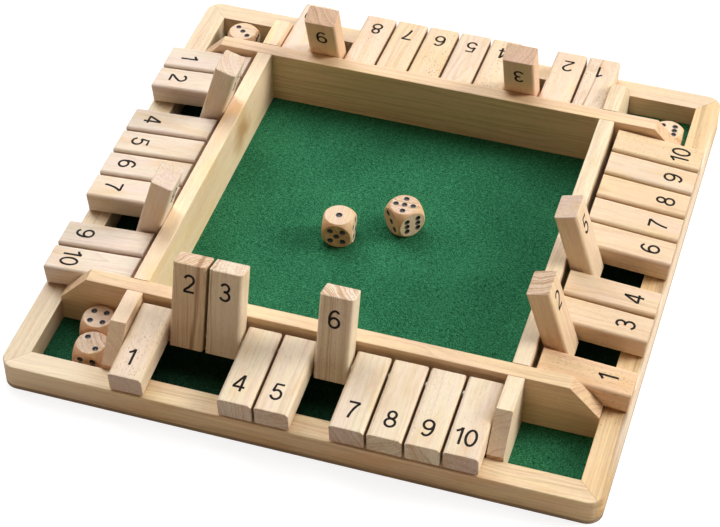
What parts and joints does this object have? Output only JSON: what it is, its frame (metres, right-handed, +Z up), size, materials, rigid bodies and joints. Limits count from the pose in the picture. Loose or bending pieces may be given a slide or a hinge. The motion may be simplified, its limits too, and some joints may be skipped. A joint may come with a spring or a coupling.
{
  "type": "shut the box game",
  "caption": "Square wooden board for four players: a felt arena inside crossed walls, hinged number tiles on steel rods along each side, open corner compartments and loose dice.",
  "frame": {"origin": "centre of the underside of the base board", "axes": "+Z up, -Y towards the front player, +X to the right"},
  "size_m": [0.3, 0.3, 0.0637],
  "materials": {
    "base_wood": "satin",
    "felt": "matte",
    "rod_steel": "satin",
    "rail_wood": "satin",
    "wall_wood": "satin",
    "tile_wood": "satin",
    "dice_wood": "satin"
  },
  "bodies": {
    "board": {"base_board": "base_wood", "felt": "felt", "pivot_rods": "rod_steel", "right_rail": "rail_wood", "back_rail": "rail_wood", "left_rail": "rail_wood", "front_rail": "rail_wood", "right_wall": "wall_wood", "back_wall": "wall_wood", "left_wall": "wall_wood", "front_wall": "wall_wood"},
    "right_tile_1": {"right_tile_1": "tile_wood"},
    "right_tile_2": {"right_tile_2": "tile_wood"},
    "right_tile_3": {"right_tile_3": "tile_wood"},
    "right_tile_4": {"right_tile_4": "tile_wood"},
    "right_tile_5": {"right_tile_5": "tile_wood"},
    "right_tile_6": {"right_tile_6": "tile_wood"},
    "right_tile_7": {"right_tile_7": "tile_wood"},
    "right_tile_8": {"right_tile_8": "tile_wood"},
    "right_tile_9": {"right_tile_9": "tile_wood"},
    "right_tile_10": {"right_tile_10": "tile_wood"},
    "back_tile_1": {"back_tile_1": "tile_wood"},
    "back_tile_2": {"back_tile_2": "tile_wood"},
    "back_tile_3": {"back_tile_3": "tile_wood"},
    "back_tile_4": {"back_tile_4": "tile_wood"},
    "back_tile_5": {"back_tile_5": "tile_wood"},
    "back_tile_6": {"back_tile_6": "tile_wood"},
    "back_tile_7": {"back_tile_7": "tile_wood"},
    "back_tile_8": {"back_tile_8": "tile_wood"},
    "back_tile_9": {"back_tile_9": "tile_wood"},
    "back_tile_10": {"back_tile_10": "tile_wood"},
    "left_tile_1": {"left_tile_1": "tile_wood"},
    "left_tile_2": {"left_tile_2": "tile_wood"},
    "left_tile_3": {"left_tile_3": "tile_wood"},
    "left_tile_4": {"left_tile_4": "tile_wood"},
    "left_tile_5": {"left_tile_5": "tile_wood"},
    "left_tile_6": {"left_tile_6": "tile_wood"},
    "left_tile_7": {"left_tile_7": "tile_wood"},
    "left_tile_8": {"left_tile_8": "tile_wood"},
    "left_tile_9": {"left_tile_9": "tile_wood"},
    "left_tile_10": {"left_tile_10": "tile_wood"},
    "front_tile_1": {"front_tile_1": "tile_wood"},
    "front_tile_2": {"front_tile_2": "tile_wood"},
    "front_tile_3": {"front_tile_3": "tile_wood"},
    "front_tile_4": {"front_tile_4": "tile_wood"},
    "front_tile_5": {"front_tile_5": "tile_wood"},
    "front_tile_6": {"front_tile_6": "tile_wood"},
    "front_tile_7": {"front_tile_7": "tile_wood"},
    "front_tile_8": {"front_tile_8": "tile_wood"},
    "front_tile_9": {"front_tile_9": "tile_wood"},
    "front_tile_10": {"front_tile_10": "tile_wood"},
    "die_1": {"die_1": "dice_wood"},
    "die_2": {"die_2": "dice_wood"},
    "die_3": {"die_3": "dice_wood"},
    "die_4": {"die_4": "dice_wood"},
    "die_5": {"die_5": "dice_wood"},
    "die_6": {"die_6": "dice_wood"}
  },
  "joints": [
    {"name": "right_tile_1_hinge", "type": "hinge", "parent": "board", "child": "right_tile_1", "pos_m": [0.1097, -0.08298, 0.024], "axis": [0, -1, 0], "range_deg": [0, 111.29]},
    {"name": "right_tile_2_hinge", "type": "hinge", "parent": "board", "child": "right_tile_2", "pos_m": [0.1097, -0.06454, 0.024], "axis": [0, -1, 0], "range_deg": [-111.29, 0]},
    {"name": "right_tile_3_hinge", "type": "hinge", "parent": "board", "child": "right_tile_3", "pos_m": [0.1097, -0.0461, 0.024], "axis": [0, -1, 0], "range_deg": [0, 111.29]},
    {"name": "right_tile_4_hinge", "type": "hinge", "parent": "board", "child": "right_tile_4", "pos_m": [0.1097, -0.02766, 0.024], "axis": [0, -1, 0], "range_deg": [0, 111.29]},
    {"name": "right_tile_5_hinge", "type": "hinge", "parent": "board", "child": "right_tile_5", "pos_m": [0.1097, -0.00922, 0.024], "axis": [0, -1, 0], "range_deg": [-111.29, 0]},
    {"name": "right_tile_6_hinge", "type": "hinge", "parent": "board", "child": "right_tile_6", "pos_m": [0.1097, 0.00922, 0.024], "axis": [0, -1, 0], "range_deg": [0, 111.29]},
    {"name": "right_tile_7_hinge", "type": "hinge", "parent": "board", "child": "right_tile_7", "pos_m": [0.1097, 0.02766, 0.024], "axis": [0, -1, 0], "range_deg": [0, 111.29]},
    {"name": "right_tile_8_hinge", "type": "hinge", "parent": "board", "child": "right_tile_8", "pos_m": [0.1097, 0.0461, 0.024], "axis": [0, -1, 0], "range_deg": [0, 111.29]},
    {"name": "right_tile_9_hinge", "type": "hinge", "parent": "board", "child": "right_tile_9", "pos_m": [0.1097, 0.06454, 0.024], "axis": [0, -1, 0], "range_deg": [0, 111.29]},
    {"name": "right_tile_10_hinge", "type": "hinge", "parent": "board", "child": "right_tile_10", "pos_m": [0.1097, 0.08298, 0.024], "axis": [0, -1, 0], "range_deg": [0, 111.29]},
    {"name": "back_tile_1_hinge", "type": "hinge", "parent": "board", "child": "back_tile_1", "pos_m": [0.08298, 0.1097, 0.024], "axis": [1, 0, 0], "range_deg": [0, 111.29]},
    {"name": "back_tile_2_hinge", "type": "hinge", "parent": "board", "child": "back_tile_2", "pos_m": [0.06454, 0.1097, 0.024], "axis": [1, 0, 0], "range_deg": [0, 111.29]},
    {"name": "back_tile_3_hinge", "type": "hinge", "parent": "board", "child": "back_tile_3", "pos_m": [0.0461, 0.1097, 0.024], "axis": [1, 0, 0], "range_deg": [-111.29, 0]},
    {"name": "back_tile_4_hinge", "type": "hinge", "parent": "board", "child": "back_tile_4", "pos_m": [0.02766, 0.1097, 0.024], "axis": [1, 0, 0], "range_deg": [0, 111.29]},
    {"name": "back_tile_5_hinge", "type": "hinge", "parent": "board", "child": "back_tile_5", "pos_m": [0.00922, 0.1097, 0.024], "axis": [1, 0, 0], "range_deg": [0, 111.29]},
    {"name": "back_tile_6_hinge", "type": "hinge", "parent": "board", "child": "back_tile_6", "pos_m": [-0.00922, 0.1097, 0.024], "axis": [1, 0, 0], "range_deg": [0, 111.29]},
    {"name": "back_tile_7_hinge", "type": "hinge", "parent": "board", "child": "back_tile_7", "pos_m": [-0.02766, 0.1097, 0.024], "axis": [1, 0, 0], "range_deg": [0, 111.29]},
    {"name": "back_tile_8_hinge", "type": "hinge", "parent": "board", "child": "back_tile_8", "pos_m": [-0.0461, 0.1097, 0.024], "axis": [1, 0, 0], "range_deg": [0, 111.29]},
    {"name": "back_tile_9_hinge", "type": "hinge", "parent": "board", "child": "back_tile_9", "pos_m": [-0.06454, 0.1097, 0.024], "axis": [1, 0, 0], "range_deg": [-111.29, 0]},
    {"name": "back_tile_10_hinge", "type": "hinge", "parent": "board", "child": "back_tile_10", "pos_m": [-0.08298, 0.1097, 0.024], "axis": [1, 0, 0], "range_deg": [0, 111.29]},
    {"name": "left_tile_1_hinge", "type": "hinge", "parent": "board", "child": "left_tile_1", "pos_m": [-0.1097, 0.08298, 0.024], "axis": [0, 1, 0], "range_deg": [0, 111.29]},
    {"name": "left_tile_2_hinge", "type": "hinge", "parent": "board", "child": "left_tile_2", "pos_m": [-0.1097, 0.06454, 0.024], "axis": [0, 1, 0], "range_deg": [0, 111.29]},
    {"name": "left_tile_3_hinge", "type": "hinge", "parent": "board", "child": "left_tile_3", "pos_m": [-0.1097, 0.0461, 0.024], "axis": [0, 1, 0], "range_deg": [-111.29, 0]},
    {"name": "left_tile_4_hinge", "type": "hinge", "parent": "board", "child": "left_tile_4", "pos_m": [-0.1097, 0.02766, 0.024], "axis": [0, 1, 0], "range_deg": [0, 111.29]},
    {"name": "left_tile_5_hinge", "type": "hinge", "parent": "board", "child": "left_tile_5", "pos_m": [-0.1097, 0.00922, 0.024], "axis": [0, 1, 0], "range_deg": [0, 111.29]},
    {"name": "left_tile_6_hinge", "type": "hinge", "parent": "board", "child": "left_tile_6", "pos_m": [-0.1097, -0.00922, 0.024], "axis": [0, 1, 0], "range_deg": [0, 111.29]},
    {"name": "left_tile_7_hinge", "type": "hinge", "parent": "board", "child": "left_tile_7", "pos_m": [-0.1097, -0.02766, 0.024], "axis": [0, 1, 0], "range_deg": [0, 111.29]},
    {"name": "left_tile_8_hinge", "type": "hinge", "parent": "board", "child": "left_tile_8", "pos_m": [-0.1097, -0.0461, 0.024], "axis": [0, 1, 0], "range_deg": [-111.29, 0]},
    {"name": "left_tile_9_hinge", "type": "hinge", "parent": "board", "child": "left_tile_9", "pos_m": [-0.1097, -0.06454, 0.024], "axis": [0, 1, 0], "range_deg": [0, 111.29]},
    {"name": "left_tile_10_hinge", "type": "hinge", "parent": "board", "child": "left_tile_10", "pos_m": [-0.1097, -0.08298, 0.024], "axis": [0, 1, 0], "range_deg": [0, 111.29]},
    {"name": "front_tile_1_hinge", "type": "hinge", "parent": "board", "child": "front_tile_1", "pos_m": [-0.08298, -0.1097, 0.024], "axis": [-1, 0, 0], "range_deg": [0, 111.29]},
    {"name": "front_tile_2_hinge", "type": "hinge", "parent": "board", "child": "front_tile_2", "pos_m": [-0.06454, -0.1097, 0.024], "axis": [-1, 0, 0], "range_deg": [-111.29, 0]},
    {"name": "front_tile_3_hinge", "type": "hinge", "parent": "board", "child": "front_tile_3", "pos_m": [-0.0461, -0.1097, 0.024], "axis": [-1, 0, 0], "range_deg": [-111.29, 0]},
    {"name": "front_tile_4_hinge", "type": "hinge", "parent": "board", "child": "front_tile_4", "pos_m": [-0.02766, -0.1097, 0.024], "axis": [-1, 0, 0], "range_deg": [0, 111.29]},
    {"name": "front_tile_5_hinge", "type": "hinge", "parent": "board", "child": "front_tile_5", "pos_m": [-0.00922, -0.1097, 0.024], "axis": [-1, 0, 0], "range_deg": [0, 111.29]},
    {"name": "front_tile_6_hinge", "type": "hinge", "parent": "board", "child": "front_tile_6", "pos_m": [0.00922, -0.1097, 0.024], "axis": [-1, 0, 0], "range_deg": [-111.29, 0]},
    {"name": "front_tile_7_hinge", "type": "hinge", "parent": "board", "child": "front_tile_7", "pos_m": [0.02766, -0.1097, 0.024], "axis": [-1, 0, 0], "range_deg": [0, 111.29]},
    {"name": "front_tile_8_hinge", "type": "hinge", "parent": "board", "child": "front_tile_8", "pos_m": [0.0461, -0.1097, 0.024], "axis": [-1, 0, 0], "range_deg": [0, 111.29]},
    {"name": "front_tile_9_hinge", "type": "hinge", "parent": "board", "child": "front_tile_9", "pos_m": [0.06454, -0.1097, 0.024], "axis": [-1, 0, 0], "range_deg": [0, 111.29]},
    {"name": "front_tile_10_hinge", "type": "hinge", "parent": "board", "child": "front_tile_10", "pos_m": [0.08298, -0.1097, 0.024], "axis": [-1, 0, 0], "range_deg": [0, 111.29]},
    {"name": "die_1_lift", "type": "slide", "parent": "board", "child": "die_1", "axis": [0, 0, 1], "range_m": [0, 0.06]},
    {"name": "die_2_lift", "type": "slide", "parent": "board", "child": "die_2", "axis": [0, 0, 1], "range_m": [0, 0.06]},
    {"name": "die_3_lift", "type": "slide", "parent": "board", "child": "die_3", "axis": [0, 0, 1], "range_m": [0, 0.06]},
    {"name": "die_4_lift", "type": "slide", "parent": "board", "child": "die_4", "axis": [0, 0, 1], "range_m": [0, 0.06]},
    {"name": "die_5_lift", "type": "slide", "parent": "board", "child": "die_5", "axis": [0, 0, 1], "range_m": [0, 0.06]},
    {"name": "die_6_lift", "type": "slide", "parent": "board", "child": "die_6", "axis": [0, 0, 1], "range_m": [0, 0.06]}
  ]
}
